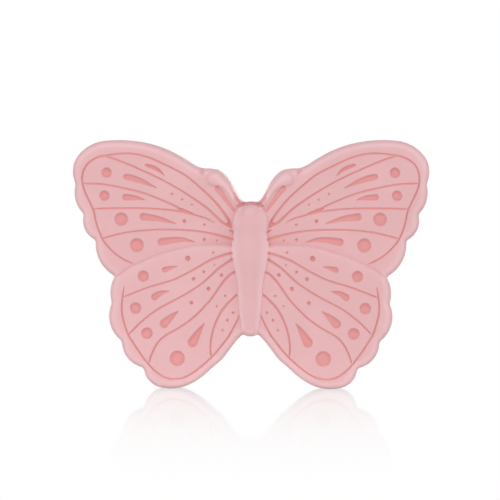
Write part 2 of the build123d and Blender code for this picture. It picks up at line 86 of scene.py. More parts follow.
# Engraved lines, each from its root outwards.
VEINS = [
    [(3.75, 30.6), (4.1, 31.4), (5.2, 33.0), (7.0, 35.15), (10.0, 37.9), (12.0, 39.5),
     (14.0, 40.6), (16.0, 41.56), (18.0, 42.5), (20.0, 43.15), (22.0, 43.5), (24.0, 43.5), (26.0, 43.25),
     (27.6, 43.0), (28.8, 42.55), (29.85, 41.85), (30.7, 40.7), (31.1, 39.2), (31.0, 37.8),
     (30.6, 36.5),
     (29.6, 34.3), (29.0, 33.0), (28.6, 31.0), (27.8, 28.6), (26.9, 27.0), (25.0, 25.0),
     (23.0, 23.7), (21.8, 23.2)],
    [(3.9, 30.3), (5.0, 30.75), (6.0, 31.6), (8.0, 33.45), (10.0, 34.9), (12.0, 36.2),
     (14.0, 37.4), (16.0, 38.5), (18.0, 39.5), (20.0, 40.4), (22.0, 41.3), (24.0, 42.1), (25.6, 42.7),
     (27.0, 43.05)],
    [(12.3, 33.05), (14.0, 33.9), (16.0, 34.76), (18.0, 35.6), (20.0, 36.3), (22.0, 36.8),
     (24.0, 37.26), (26.0, 37.64), (28.0, 37.9), (31.0, 38.0)],
    [(6.6, 30.8), (8.0, 31.5), (10.0, 32.1), (12.0, 32.64), (14.0, 32.96), (16.0, 33.2),
     (20.0, 33.4), (26.0, 33.38), (29.0, 33.3)],
    [(3.2, 27.7), (5.0, 28.2), (8.0, 28.9), (10.0, 29.2), (14.0, 29.46), (18.0, 29.42),
     (22.0, 29.06), (24.0, 28.7), (27.5, 27.8)],
    [(23.3, 18.9), (23.5, 17.7), (23.76, 15.7), (23.7, 13.9),
     (23.3, 12.2), (22.6, 10.1), (21.55, 8.4), (20.3, 6.5), (19.0, 4.8), (17.9, 3.6),
     (16.55, 2.55), (15.2, 1.95), (13.8, 1.86), (12.4, 2.1), (11.0, 2.75), (9.66, 3.7),
     (8.45, 4.7), (6.4, 6.7), (5.2, 8.2), (4.1, 9.6), (3.1, 11.3), (2.3, 12.9), (2.0, 13.7)],
    [(3.4, 25.15), (4.5, 24.9), (6.0, 24.4), (7.4, 23.85), (10.0, 22.35), (12.8, 20.85),
     (14.1, 20.25), (15.5, 19.8), (19.0, 18.75), (22.2, 17.5), (23.5, 17.0)],
    [(3.3, 24.05), (4.65, 23.15), (5.9, 22.25), (8.3, 20.05), (9.66, 19.0), (12.4, 17.3),
     (15.5, 15.66), (17.2, 14.7), (20.0, 12.55), (22.5, 10.1)],
    [(2.9, 21.65), (3.8, 21.1), (5.0, 19.8), (6.9, 17.1), (8.1, 15.65), (10.7, 13.1),
     (13.4, 11.2), (15.2, 10.2), (16.4, 9.35), (17.4, 8.1), (18.1, 6.7), (18.8, 4.7)],
    [(2.5, 17.4), (3.45, 16.5), (4.5, 15.5), (5.3, 14.4), (6.0, 13.1), (6.6, 11.7), (7.05, 10.1),
     (7.35, 8.0), (7.3, 6.6), (7.1, 5.9)],
]
# Dots (x, z, radius), and tapered strokes whose points carry their own half width.
DOTS = [(26.6, 40.0, 0.97), (27.0, 35.75, 0.95), (23.9, 31.4, 1.25), (21.0, 26.6, 1.3),
        (12.2, 31.05, 0.35), (8.5, 30.4, 0.25), (8.5, 27.65, 0.3), (6.15, 27.5, 0.22),
        (14.5, 36.05, 0.25), (12.6, 35.05, 0.22), (10.8, 34.1, 0.22),
        (13.5, 5.7, 1.42), (19.1, 10.35, 1.08), (21.2, 15.0, 1.06), (19.75, 20.9, 1.05),
        (11.5, 24.2, 0.5), (6.8, 25.3, 0.25), (6.6, 23.0, 0.2), (8.55, 21.7, 0.3),
        (10.45, 20.4, 0.35), (5.3, 21.15, 0.35), (7.7, 18.6, 0.38), (10.85, 16.0, 0.35),
        (4.6, 17.3, 0.25), (6.15, 15.4, 0.22), (3.1, 14.2, 0.28), (4.2, 12.8, 0.28),
        (5.1, 10.95, 0.25)]
STROKES = [
    [(15.9, 39.45, 0.06), (16.85, 40.4, 0.28), (18.0, 41.0, 0.36), (19.2, 41.4, 0.24)],
    [(17.4, 37.2, 0.08), (20.0, 38.4, 0.38), (22.0, 39.05, 0.5), (23.0, 39.25, 0.45)],
    [(19.6, 35.0, 0.08), (21.3, 35.35, 0.38), (23.1, 35.5, 0.5)],
    [(13.85, 30.6, 0.08), (17.0, 31.5, 0.42), (19.8, 31.85, 0.6)],
    [(10.3, 27.2, 0.08), (12.4, 27.62, 0.35), (14.4, 27.55, 0.5), (16.5, 27.2, 0.6)],
    [(13.5, 22.7, 0.08), (14.7, 22.45, 0.3), (15.8, 22.1, 0.45)],
    [(15.0, 18.1, 0.08), (16.5, 17.8, 0.38), (17.7, 17.05, 0.55)],
    [(13.3, 14.4, 0.08), (14.6, 13.4, 0.45), (15.9, 12.15, 0.72)],
    [(8.5, 12.15, 0.08), (9.6, 10.5, 0.5), (10.65, 8.7, 0.8)],
    [(3.5, 29.9, 0.14), (3.85, 30.4, 0.36), (4.35, 30.45, 0.2)],
    [(3.7, 30.3, 0.3), (3.85, 30.9, 0.26), (4.05, 31.6, 0.1)],
    [(3.1, 28.95, 0.1), (3.45, 29.2, 0.18), (3.85, 29.45, 0.08)],
    [(13.5, 33.4, 0.1), (12.6, 33.1, 0.3), (11.7, 32.78, 0.26), (10.6, 32.45, 0.12)],
]
# Shallow hollows as depth, engraving share, wall and points: beside the antenna, past its
# ball, over the head, and in the corner between head and antenna.
HOLLOWS = [
    (0.16, 0.75, 0.1, [(2.95, 32.95, 0.3), (3.8, 34.08, 0.38), (4.63, 35.2, 0.43),
                        (5.43, 36.3, 0.48), (6.1, 37.05, 0.55)]),
    (0.4, 0.45, 0.5, [(8.5, 39.45, 0.15), (8.8, 39.95, 0.45), (9.0, 40.3, 0.65)]),
    # The coral in the next two hollows is painted shade, over the head and in the corner by the antenna.
    (0.6, 0.45, 0.2, [(0.0, 34.5, 0.2), (1.0, 34.42, 0.2), (1.8, 33.95, 0.36)]),
    (0.7, 0.9, 0.3, [(1.75, 34.3, 0.25), (2.3, 33.75, 0.3), (2.75, 33.2, 0.1)]),
]


def length_setting(name, description, default, low, high):
    """A length setting, given in millimetres."""
    return FloatProperty(name=name, description=description, default=default * MM, min=low * MM,
                         max=high * MM, precision=5, unit="LENGTH")


def colour_setting(name, description, default):
    """A colour setting."""
    return FloatVectorProperty(name=name, description=description, default=default, min=0, max=1,
                               size=3, subtype="COLOR")


def angle_setting(name, description, degrees, low, high):
    """An angle setting, given in degrees."""
    return FloatProperty(name=name, description=description, default=math.radians(degrees),
                         min=math.radians(low), max=math.radians(high), subtype="ANGLE")


class ButterflySizes(bpy.types.PropertyGroup):
    """Depths and widths of the silicone relief."""
    wing_depth: length_setting("Upper Wing Depth", "Thickness of the upper wings", 4.2, 2, 8)
    overlap_step: length_setting(
        "Overlap Step", "How much prouder the lower wings and antennae are", 0.8, 0.1, 2)
    body_rise: length_setting(
        "Body Rise", "Height of the thorax above the upper wings", 3.1, 0.5, 4)
    rim_round: length_setting("Rim Round", "Radius of the front edge", 1.3, 0.3, 2.5)
    back_round: length_setting("Back Round", "Radius of the back edge", 0.4, 0.1, 1)
    vein_width: length_setting("Vein Width", "Width of the engraved lines", 0.46, 0.1, 0.6)
    vein_depth: length_setting("Vein Depth", "Depth of the engraved lines", 0.26, 0.05, 0.8)
    dot_depth: length_setting("Dot Depth", "Depth of the dots and drops", 0.36, 0.05, 0.9)


class ButterflyColours(bpy.types.PropertyGroup):
    """Colours of the silicone."""
    silicone: colour_setting("Silicone", "Colour of the wings", (0.762, 0.447, 0.461))
    coral: colour_setting("Engraving", "Colour in the engraved lines and dots", (0.75, 0.29, 0.28))
    # Painted shade: this deeper colour darkens the upper wings where they meet the body, and the notch
    # over the head.
    shade: colour_setting(
        "Shade", "Deeper colour where the wings meet the body", (0.66, 0.26, 0.27))
    # Painted highlight: this paler colour lightens the rims, the body's edges, the head, the step and
    # the antennae; it also tints the sheen.
    bloom: colour_setting("Bloom", "Paler colour on rounded rims", (0.91, 0.635, 0.665))


class ClipColours(bpy.types.PropertyGroup):
    """Colours of the clip behind the butterfly."""
    plastic: colour_setting("Plastic", "Colour of the frame and the lever", (0.83, 0.55, 0.55))
    core: colour_setting("Core Plate", "Colour of the plate inside", (0.85, 0.83, 0.80))
    grip: colour_setting("Grip", "Colour of the soft pad and teeth", (0.88, 0.80, 0.77))
    steel: colour_setting("Steel", "Colour of the pin and screws", (0.50, 0.50, 0.51))


class GripSizes(bpy.types.PropertyGroup):
    """Sizes of the soft grips' ridges."""
    pad_pitch: length_setting("Pad Pitch", "Distance between the pad's ridges", 1.0, 0.4, 3)
    teeth_pitch: length_setting("Teeth Pitch", "Distance between the strip's teeth", 0.8, 0.4, 2)
    ridge_height: length_setting("Ridge Height", "How far the ridges stand up", 0.4, 0.1, 1)
    ridge_inset: length_setting("Ridge Inset", "Gap from a ridge's end to the side", 0.5, 0, 2)


class StageSettings(bpy.types.PropertyGroup):
    """Camera and light."""
    elevation: angle_setting(
        "Camera Elevation", "Angle of the camera above the horizon", 2.6, 0, 60)
    turn: angle_setting(
        "Camera Turn", "Angle of the camera round to the right of the front", 2.3, -180, 180)
    lens: FloatProperty(
        name="Lens", description="Focal length in millimetres", default=150.0, min=35, max=300)
    frame_width: length_setting("Frame Width", "Width of the view at the object", 93.28, 50, 300)
    aim_height: length_setting("Aim Height", "Height that the camera looks at", 25.56, 0, 50)
    aim_side: length_setting(
        "Aim Side", "How far right of the middle the camera looks", -0.22, -20, 20)


# --- paths in the drawing plane
def even(path, step):
    """The same path with its points evenly spaced, about one step apart."""
    path = np.asarray(path, float)
    lengths = np.linalg.norm(np.diff(path[:, :2], axis=0), axis=1)
    along = np.concatenate([[0.0], np.cumsum(lengths)])
    count = max(2, int(round(along[-1] / step)) + 1)
    places = np.linspace(0.0, along[-1], count)
    return np.column_stack([np.interp(places, along, column) for column in path.T])


def smooth_path(points, step, samples=16):
    """A centripetal Catmull-Rom curve through the points, evenly spaced."""
    p = np.asarray(points, float)
    p = np.vstack([2 * p[0] - p[1], p, 2 * p[-1] - p[-2]])
    chords = np.linalg.norm(np.diff(p[:, :2], axis=0), axis=1)
    knots = np.concatenate([[0.0], np.cumsum(np.sqrt(chords))])
    spans = []
    for i in range(1, len(p) - 2):
        k0, k1, k2, k3 = knots[i - 1:i + 3]
        t = np.linspace(k1, k2, samples, endpoint=False)[:, None]
        a1 = ((k1 - t) * p[i - 1] + (t - k0) * p[i]) / (k1 - k0)
        a2 = ((k2 - t) * p[i] + (t - k1) * p[i + 1]) / (k2 - k1)
        a3 = ((k3 - t) * p[i + 1] + (t - k2) * p[i + 2]) / (k3 - k2)
        b1 = ((k2 - t) * a1 + (t - k0) * a2) / (k2 - k0)
        b2 = ((k3 - t) * a2 + (t - k1) * a3) / (k3 - k1)
        spans.append(((k2 - t) * b1 + (t - k1) * b2) / (k2 - k1))
    spans.append(p[-2:-1])
    return even(np.vstack(spans), step)


def arc_path(start, middle, end, step):
    """The circular arc through three points, evenly spaced."""
    (ax, ay), (bx, by), (cx, cy) = start, middle, end
    d = 2 * (ax * (by - cy) + bx * (cy - ay) + cx * (ay - by))
    aa, bb, cc = ax * ax + ay * ay, bx * bx + by * by, cx * cx + cy * cy
    ux = (aa * (by - cy) + bb * (cy - ay) + cc * (ay - by)) / d
    uy = (aa * (cx - bx) + bb * (ax - cx) + cc * (bx - ax)) / d
    first, mid, last = [math.atan2(y - uy, x - ux) for x, y in (start, middle, end)]
    mid = first + (mid - first + math.pi) % (2 * math.pi) - math.pi
    last = mid + (last - mid + math.pi) % (2 * math.pi) - math.pi
    radius = math.hypot(ax - ux, ay - uy)
    count = max(2, int(round(abs(last - first) * radius / step)) + 1)
    angles = np.linspace(first, last, count)
    return np.column_stack([ux + radius * np.cos(angles), uy + radius * np.sin(angles)])


def soft_corners(runs, cut):
    """Runs of points joined end to end, with a small round in place of each sharp corner."""
    joined = [runs[0]]
    for run in runs[1:]:
        last, corner = joined[-1], run[0]
        last = last[np.linalg.norm(last - corner, axis=1) > cut]
        run = run[np.linalg.norm(run - corner, axis=1) > cut]
        t = np.linspace(0.0, 1.0, 7)[1:-1, None]
        bend = (1 - t) ** 2 * last[-1] + 2 * t * (1 - t) * corner + t ** 2 * run[0]
        joined[-1:] = [last, bend, run]
    return np.vstack(joined)


def normals(path, closed=False):
    """Unit normals to the right of the direction of travel; outward on a closed loop."""
    if closed:
        along = np.roll(path, -1, axis=0) - np.roll(path, 1, axis=0)
    else:
        along = np.gradient(path[:, :2], axis=0)
    along /= np.linalg.norm(along, axis=1)[:, None]
    return np.column_stack([along[:, 1], -along[:, 0]])


def distance(points, path, half_widths=None):
    """Distance from each point to a path of straight pieces, less the path's half width."""
    if half_widths is None:
        half_widths = np.zeros(len(path))
    best = np.full(len(points), np.inf)
    for start, end, wide, wide_end in zip(path[:-1], path[1:], half_widths[:-1], half_widths[1:]):
        run = end - start
        t = np.clip(((points - start) @ run) / max(run @ run, TINY ** 2), 0.0, 1.0)
        x, z = (points - start - t[:, None] * run).T
        best = np.minimum(best, np.hypot(x, z) - (wide + t * (wide_end - wide)))
    return best


def inside(points, loop):
    """True for each point within a closed loop."""
    x, z = points.T
    result = np.zeros(len(points), bool)
    for (x0, z0), (x1, z1) in zip(loop, np.roll(loop, -1, axis=0)):
        if z0 == z1:
            continue
        crosses = (z0 > z) != (z1 > z)
        result ^= crosses & (x < (x1 - x0) * (z - z0) / (z1 - z0) + x0)
    return result


def quarter(t):
    """Height of a quarter round that starts upright, for t from 0 to 1."""
    t = np.clip(t, 0.0, 1.0)
    return np.sqrt(1.0 - (1.0 - t) ** 2)


def ease(t):
    """Smooth rise from 0 to 1."""
    t = np.clip(t, 0.0, 1.0)
    return t * t * (3.0 - 2.0 * t)


def band(values, strength, middle, width):
    """A soft band, strongest at its middle, that fades out on both sides."""
    return strength * np.exp(-((values - middle) / width) ** 2)


def rise(values, strength, start, width):
    """A share that rises from 0 at the start to its full strength a width further on."""
    return strength * ease((values - start) / width)


def smooth_max(a, b, blend):
    """The larger of two heights, with a small fillet where they meet."""
    overlap = np.maximum(blend - np.abs(a - b), 0.0) / blend
    return np.maximum(a, b) + overlap ** 2 * blend / 4


# --- engraving
# How deep a colour each kind of mark gets, and the width of its walls in millimetres.
VEIN_TINT, VEIN_WALL = 0.78, 0.1
SMALL_DOT_TINT, LARGE_DOT_TINT, LARGE_DOT = 0.95, 0.78, 0.6   # the last is a radius
NARROW_TINT, DROP_TINT, DROP_RADIUS = 1.0, 0.8, 0.4
DROP_GROWTH, MARK_SPREAD, MARK_WALL = 1.15, 0.05, 0.16
MARK_STEP, LOOP_STEP, CAP_STEP = 0.25, 0.22, 0.15             # point spacings


class Stroke:
    """An engraved mark: a path whose points carry their half width, cut to one depth."""

    def __init__(self, points, depth, tint, wall, step=0.45):
        self.path = np.atleast_2d(np.asarray(points, float))
        if len(self.path) > 1:
            self.path = smooth_path(self.path, step)
        self.depth, self.tint, self.wall = depth, tint, wall

    def gap(self, points):
        """Distance to the mark's edge, negative inside it."""
        path = self.path if len(self.path) > 1 else self.path[[0, 0]]
        return distance(points, path[:, :2], path[:, 2])

    def loop(self, grow):
        """The closed line that lies that far outside the mark's edge."""
        path = self.path.copy()
        path[:, 2] = np.maximum(path[:, 2] + grow, 0.02)
        radius = path[:, 2].max()
        if len(path) == 1:
            count = max(10, int(2 * math.pi * radius / LOOP_STEP))
            angles = np.linspace(0, 2 * math.pi, count, endpoint=False)
            return path[0, :2] + radius * np.column_stack([np.cos(angles), np.sin(angles)])
        side = normals(path) * path[:, 2:]
        right, left = path[:, :2] + side, (path[:, :2] - side)[::-1]
        return np.vstack([right, self.cap(path[-1], side[-1]), left, self.cap(path[0], -side[0])])

    @staticmethod
    def cap(end, side):
        """Points round a rounded end, from one side to the other."""
        count = max(2, int(math.pi * end[2] / CAP_STEP))
        angles = np.linspace(0, math.pi, count + 2)[1:-1, None]
        forward = np.array([-side[1], side[0]])
        return end[:2] + side * np.cos(angles) + forward * np.sin(angles)


def tapered(points, half_width):
    """A vein's points with their half width: widest at the body, running out at a free end."""
    path = smooth_path(points, 0.5)
    along = np.arange(len(path))
    width = 1.2 - 0.3 * ease(along / 20)
    starts_free = points[0][0] > 4.5
    if starts_free:
        width = 0.9 * np.minimum(1.0, 0.4 + along / 6)
    return np.column_stack([path, half_width * np.minimum(width, 0.5 + along[::-1] / 5)])


def engraved_marks(sizes):
    """Every vein, dot and stroke of the right side."""
    vein_depth, dot_depth = sizes.vein_depth / MM, sizes.dot_depth / MM
    half_width = sizes.vein_width / MM / 2
    marks = [Stroke(tapered(points, half_width), vein_depth, VEIN_TINT, VEIN_WALL)
             for points in VEINS]
    for x, z, radius in DOTS:
        tint = SMALL_DOT_TINT if radius < LARGE_DOT else LARGE_DOT_TINT
        dot = (x, z, radius + MARK_SPREAD)
        marks.append(Stroke(dot, min(dot_depth, radius), tint, MARK_WALL))
    for points in STROKES:
        drop = max(radius for _, _, radius in points) > DROP_RADIUS
        grow, tint = (DROP_GROWTH, DROP_TINT) if drop else (1.0, NARROW_TINT)
        grown = [(x, z, radius * grow + MARK_SPREAD) for x, z, radius in points]
        marks.append(Stroke(grown, dot_depth, tint, MARK_WALL, step=MARK_STEP))
    for depth, tint, wall, points in HOLLOWS:
        marks.append(Stroke(points, depth, tint, wall, step=MARK_STEP))
    return marks


# --- relief
# What shapes the relief: slopes, heights and widths in millimetres, shares and powers.
STEP_SLOPE = 0.8         # width over which the lower wings step up
LOBE_SHARE, LOBE_SLOPE = 0.8, 1.1
FLANK_TOP, FLANK_SLOPE = 29.0, 5.0   # below this height the body's sides meet the lower wings
BODY_WIDEST, CREST_POWER = 3.4, 0.6
CROWN_FLAT, CROWN_POWER = 2.6, 0.7   # the body's cross-section, flatter for a larger first one
LOBE_BLEND, BODY_BLEND = 0.05, 0.12  # fillets where antennae and body meet the wings
# Painted highlight and painted shade: a band's strength, middle and width, or a rise's strength, start
# and width.
RIM_HIGHLIGHT, SADDLE_SHADE = (0.6, 0.75, 0.6), (1.0, 0.35, 0.4)
BODY_HIGHLIGHT = (1.3, 0.0, 0.36)        # by shares of the body's half width, in from its edge
HEAD_HIGHLIGHT, LOBE_HIGHLIGHT = (0.5, 31.8, 2.0), (0.55, 0.3, 0.8)
STEP_HIGHLIGHT = (0.35, 0.9)             # strength, and the distance over which it fades
ROOT_SHADE = (3.3, 4.0, 1.1)         # where it starts, and how it fades sideways and upwards
SADDLE = (3.0, 33.0)                 # the notch between head and antenna: inside X, above Z
# The lines that the front's triangles follow: degrees round the rim's curve, millimetres from
# the step's and the antenna's edge, and shares of the body's half width.
RIM_ANGLES = (12, 25, 39, 54, 70, 90, 100)
STEP_LINES = (-0.12, 0.0, 0.03, 0.1, 0.22, 0.4, 0.62, 0.85)
BODY_SHARES = (1.06, 1.02, 1.0, 0.985, 0.94, 0.86, 0.74, 0.58, 0.4, 0.2)
LOBE_LINES = (0.12, 0.0, -0.03, -0.1, -0.22, -0.4, -0.68)
HEAD_LINES = (34.2, 34.35, 34.5)     # heights of points on the middle, above the body's top
# Spacing of the loose points between those lines, and how far they keep from them.
FRONT_SPACING, FRONT_CLEARANCE = 0.8, 0.42
BACK_SPACING, EDGE_CLEARANCE, MOUTH_CLEARANCE = 2.2, 1.2, 1.0


class Relief:
    """Thickness of the silicone over its flat back, for any point of the right side."""

    def __init__(self, sizes):
        self.marks = engraved_marks(sizes)
        self.outline = self.make_outline(0.3)
        self.overlap = smooth_path(OVERLAP_EDGE, 0.4)
        self.body = smooth_path(BODY_SIDE, 0.12)
        self.antenna = Stroke(ANTENNA, 0, 0, 1, step=0.3)
        self.wing = sizes.wing_depth / MM
        self.step = sizes.overlap_step / MM
        self.rim = sizes.rim_round / MM
        self.rise = sizes.body_rise / MM

    @staticmethod
    def make_outline(step):
        """The right half of the silhouette, from the head round to the tail."""
        runs = [arc_path(*HEAD_EDGE, step), smooth_path(WING_CREST, step)]
        runs += [arc_path(*scallop, step) for scallop in SCALLOPS]
        runs += [smooth_path(LOWER_TIP, step), arc_path(*TAIL_EDGE, step)]
        return soft_corners(runs, 0.4)

    def rim_normals(self):
        """Inward normals of the silhouette, upright where it meets the middle."""
        inward = normals(self.outline)
        inward[0], inward[-1] = (0, -1), (0, 1)
        return inward

    def below_overlap(self, points):
        """Distance into the lower wings from their overlapping edge, negative above it."""
        edge = np.interp(points[:, 0], self.overlap[:, 0], self.overlap[:, 1])
        return distance(points, self.overlap) * np.where(points[:, 1] < edge, 1.0, -1.0)

    def half_width(self, heights):
        """Half width of the body at each height."""
        return np.interp(heights, self.body[::-1, 1], self.body[::-1, 0], left=0.0, right=0.0)

    def thickness(self, points):
        """Thickness, and the shares of engraving, painted highlight and painted shade at each point."""
        lower = self.below_overlap(points)
        lobe = -self.antenna.gap(points)
        rim = distance(points, self.outline)
        width = self.half_width(points[:, 1])
        across = np.clip(points[:, 0] / np.maximum(width, TINY), 0.0, 1.0)
        across[width < TINY] = 1.0
        height = self.uncut(points, lower, lobe, width, across)
        drop = self.rim - np.sqrt(self.rim ** 2 - np.clip(self.rim - rim, 0, self.rim) ** 2)
        cut, share = self.engraving(points)
        bloom, shade = self.tints(points, lower, lobe, rim, across)
        return height - drop - cut, share, bloom, shade

    def uncut(self, points, lower, lobe, width, across):
        """Height of the wings, antennae and body before the rim is rounded and lines are cut."""
        wings = self.wing + self.step * quarter(lower / STEP_SLOPE)
        antennae = self.wing + LOBE_SHARE * self.step * ease(lobe / LOBE_SLOPE)
        wings = smooth_max(wings, antennae, LOBE_BLEND)
        flank = self.wing + self.step * ease((FLANK_TOP - points[:, 1]) / FLANK_SLOPE)
        crest = self.wing + self.rise * (width / BODY_WIDEST) ** CREST_POWER
        crown = (1.0 - across ** CROWN_FLAT) ** CROWN_POWER
        body = flank + np.maximum(crest - flank, 0.0) * crown
        return smooth_max(wings, np.where(across < 1.0, body, 0.0), BODY_BLEND)

    def engraving(self, points):
        """Depth of the engraving and the share of its colour at each point."""
        cut, share = np.zeros(len(points)), np.zeros(len(points))
        for mark in self.marks:
            reach = mark.path[:, 2].max() + 0.1
            low, high = mark.path[:, :2].min(0) - reach, mark.path[:, :2].max(0) + reach
            near = np.where(((points > low) & (points < high)).all(1))[0]
            if len(near):
                sunk = np.clip(-mark.gap(points[near]) / mark.wall, 0.0, 1.0)
                cut[near] = np.maximum(cut[near], sunk * mark.depth)
                share[near] = np.maximum(share[near], sunk * mark.tint)
        return cut, share

    @staticmethod
    def tints(points, lower, lobe, rim, across):
        """Painted highlight on rims, body, step and antennae; painted shade by the body and over the
        head.
        """
        x, z = points.T
        body, wing = across < 1, across >= 1
        strength, fade = STEP_HIGHLIGHT
        # Painted highlight: paler on the rims, the body's edges, the head, the lower wings' step and the
        # antennae's crest.
        bloom = band(rim, *RIM_HIGHLIGHT)
        for where, pale in (
                (body, band(1.0 - across, *BODY_HIGHLIGHT)),
                (body, rise(z, *HEAD_HIGHLIGHT)),
                (wing & (lower > 0), strength * np.exp(-np.maximum(lower, 0) / fade)),
                (wing, rise(lobe, *LOBE_HIGHLIGHT))):
            bloom = np.maximum(bloom, np.where(where, pale, 0))
        # Painted shade: darker on the upper wings by the body's root, and in the notch over the head.
        start, sideways, upwards = ROOT_SHADE
        fading = np.exp(-np.maximum(-lower, 0) / upwards - np.maximum(x - start, 0) / sideways)
        shade = np.where(wing & (lower < 0), fading, 0)
        saddle = wing & (x < SADDLE[0]) & (z > SADDLE[1])
        shade = np.maximum(shade, np.where(saddle, band(rim, *SADDLE_SHADE), 0))
        return np.where(saddle, 0, bloom), shade


class Drawing:
    """Points and lines of the right side, ready to be triangulated."""

    def __init__(self, outline):
        self.points, self.edges = [], []
        self.region = outline

    def add(self, path, closed=False, clip=True):
        """Adds a line; the points outside the silhouette are left out."""
        path = np.asarray(path, float)[:, :2].copy()
        path[np.abs(path[:, 0]) < 0.02, 0] = 0.0
        keep = np.ones(len(path), bool)
        if clip:
            keep = inside(path, self.region) & (path[:, 0] > 0.0) | (path[:, 0] == 0.0)
        self.add_kept(path, keep, closed)

    def add_kept(self, path, keep, closed=False):
        """Adds the kept points of a line and joins those that follow each other."""
        index = np.full(len(path), -1)
        index[keep] = len(self.points) + np.arange(keep.sum())
        self.points.extend(path[keep].tolist())
        pairs = list(zip(index[:-1], index[1:]))
        if closed:
            pairs.append((index[-1], index[0]))
        self.edges += [(int(a), int(b)) for a, b in pairs if a >= 0 and b >= 0 and a != b]

    def fill(self, spacing, clearance):
        """Adds loose points on a honeycomb wherever no line is near."""
        low, high = self.region.min(0), self.region.max(0)
        rows = np.arange(low[1], high[1], spacing * math.sqrt(3) / 2)
        grid = [(x + (row % 2) * spacing / 2, z) for row, z in enumerate(rows)
                for x in np.arange(spacing / 2, high[0], spacing)]
        grid = np.array(grid)
        grid = grid[inside(grid, self.region)]
        tree = kdtree.KDTree(len(self.points))
        for number, (x, z) in enumerate(self.points):
            tree.insert((x, z, 0), number)
        tree.balance()
        free = [p for p in grid if tree.find((p[0], p[1], 0))[2] > clearance]
        self.points.extend([float(x), float(z)] for x, z in free)

    def triangles(self, loop):
        """The points and triangles of the region that the loop of point numbers encloses."""
        points = [Vector(p) for p in self.points]
        result = geometry.delaunay_2d_cdt(points, self.edges, [loop], 1, 1e-4, True)
        flat = np.array([tuple(v) for v in result[0]])
        middles = flat[np.array(result[2])].mean(1)
        kept = inside(middles, np.array(self.points)[loop])
        return flat, [face for face, keep in zip(result[2], kept) if keep], result[3]


def front_drawing(relief):
    """The lines that the front face's triangles must follow."""
    outline = relief.outline
    heights = np.unique(np.concatenate([relief.body[:, 1], HEAD_LINES]))
    axis = np.column_stack([np.zeros(len(heights)), heights])[1:]
    drawing = Drawing(np.vstack([outline, [(-5.0, outline[-1, 1]), (-5.0, outline[0, 1])]]))
    rim = np.vstack([outline, axis])
    drawing.add(rim, closed=True, clip=False)
    loop = list(range(len(rim)))
    inward = relief.rim_normals()
    for angle in RIM_ANGLES:
        offset = relief.rim * (1 - math.cos(math.radians(angle)))
        ring = outline + offset * inward
        ring[np.abs(ring[:, 0]) < 1e-3, 0] = 0.0
        keep = (distance(ring, outline) > offset - 0.01) & (ring[:, 0] >= 0)
        drawing.add_kept(ring, keep)
    edge = relief.overlap[relief.overlap[:, 0] < 25.3]
    down = normals(edge)
    for offset in STEP_LINES:
        drawing.add(edge + offset * down)
    for share in BODY_SHARES:
        drawing.add(relief.body[2:-2] * np.array([share, 1.0]))
    for grow in LOBE_LINES:
        drawing.add(relief.antenna.loop(grow), closed=True)
    for mark in relief.marks:
        for grow in (0.07, 0.0, -mark.wall):
            if mark.path[:, 2].max() + grow > 0.015:
                drawing.add(mark.loop(grow), closed=True)
    drawing.fill(FRONT_SPACING, FRONT_CLEARANCE)
    return drawing, loop


def rounded_rectangle(box, corner, per_corner=8):
    """The closed outline of a rounded rectangle, given by its low and high corners."""
    (x0, z0), (x1, z1) = box
    points = []
    centres = ((x1 - corner, z1 - corner, 0), (x0 + corner, z1 - corner, 90),
               (x0 + corner, z0 + corner, 180), (x1 - corner, z0 + corner, 270))
    for cx, cz, turn in centres:
        for angle in np.linspace(turn, turn + 90, per_corner):
            a = math.radians(angle)
            points.append((cx + corner * math.cos(a), cz + corner * math.sin(a)))
    return np.array(points)


def round_profile(radius):
    """Inset and level of the points of a rounded edge, from its side to its end."""
    angles = [math.radians(a) for a in (0, 30, 60, 90)]
    return [(radius * (1 - math.cos(a)), radius * (1 - math.sin(a))) for a in angles]


class Shell:
    """Vertices and faces of the silicone moulding as it is put together."""

    def __init__(self):
        self.points, self.faces = [], []
        # Per point: the engraving share, painted highlight and painted shade.
        self.paint = {"engraving": [], "bloom": [], "shade": []}

    def add(self, flat, depth, engraving=0.0, bloom=0.0, shade=0.0):
        """Adds drawing points at a depth in front of the back, and returns their numbers."""
        first, count = len(self.points), len(flat)
        depth = np.broadcast_to(depth, count)
        self.points += [(x, BACK_Y - d, z) for (x, z), d in zip(flat, depth)]
        for name, values in (("engraving", engraving), ("bloom", bloom), ("shade", shade)):
            self.paint[name] += list(np.broadcast_to(values, count))
        return list(range(first, first + count))

    def bridge(self, ring, other):
        """Joins two closed rings of the same length with four-sided faces."""
        for i in range(len(ring)):
            j = (i + 1) % len(ring)
            self.faces.append((ring[j], ring[i], other[i], other[j]))


def add_front(shell, relief):
    """Adds both halves of the relief and returns its boundary as a ring of numbers."""
    drawing, loop = front_drawing(relief)
    flat, triangles, _ = drawing.triangles(loop)
    flat[np.abs(flat[:, 0]) < 1e-4, 0] = 0.0
    relief_values = relief.thickness(flat)
    right = shell.add(flat, *relief_values)
    mirrored = flat[:, 0] > 0
    left = np.array(right)
    mirror_values = [values[mirrored] for values in relief_values]
    left[mirrored] = shell.add(flat[mirrored] * (-1, 1), *mirror_values)
    faces = [tuple(face) for face in triangles]
    faces += [tuple(int(left[i]) for i in reversed(face)) for face in triangles]
    shell.faces += faces
    seen = {side for face in faces for side in zip(face, face[1:] + face[:1])}
    follow = {a: b for a, b in seen if (b, a) not in seen}
    start = next(iter(follow))
    ring, here = [start], follow[start]
    while here != start:
        ring.append(here)
        here = follow[here]
    if len(ring) != len(follow):
        raise RuntimeError("The relief's rim isn't one closed ring")
    return ring


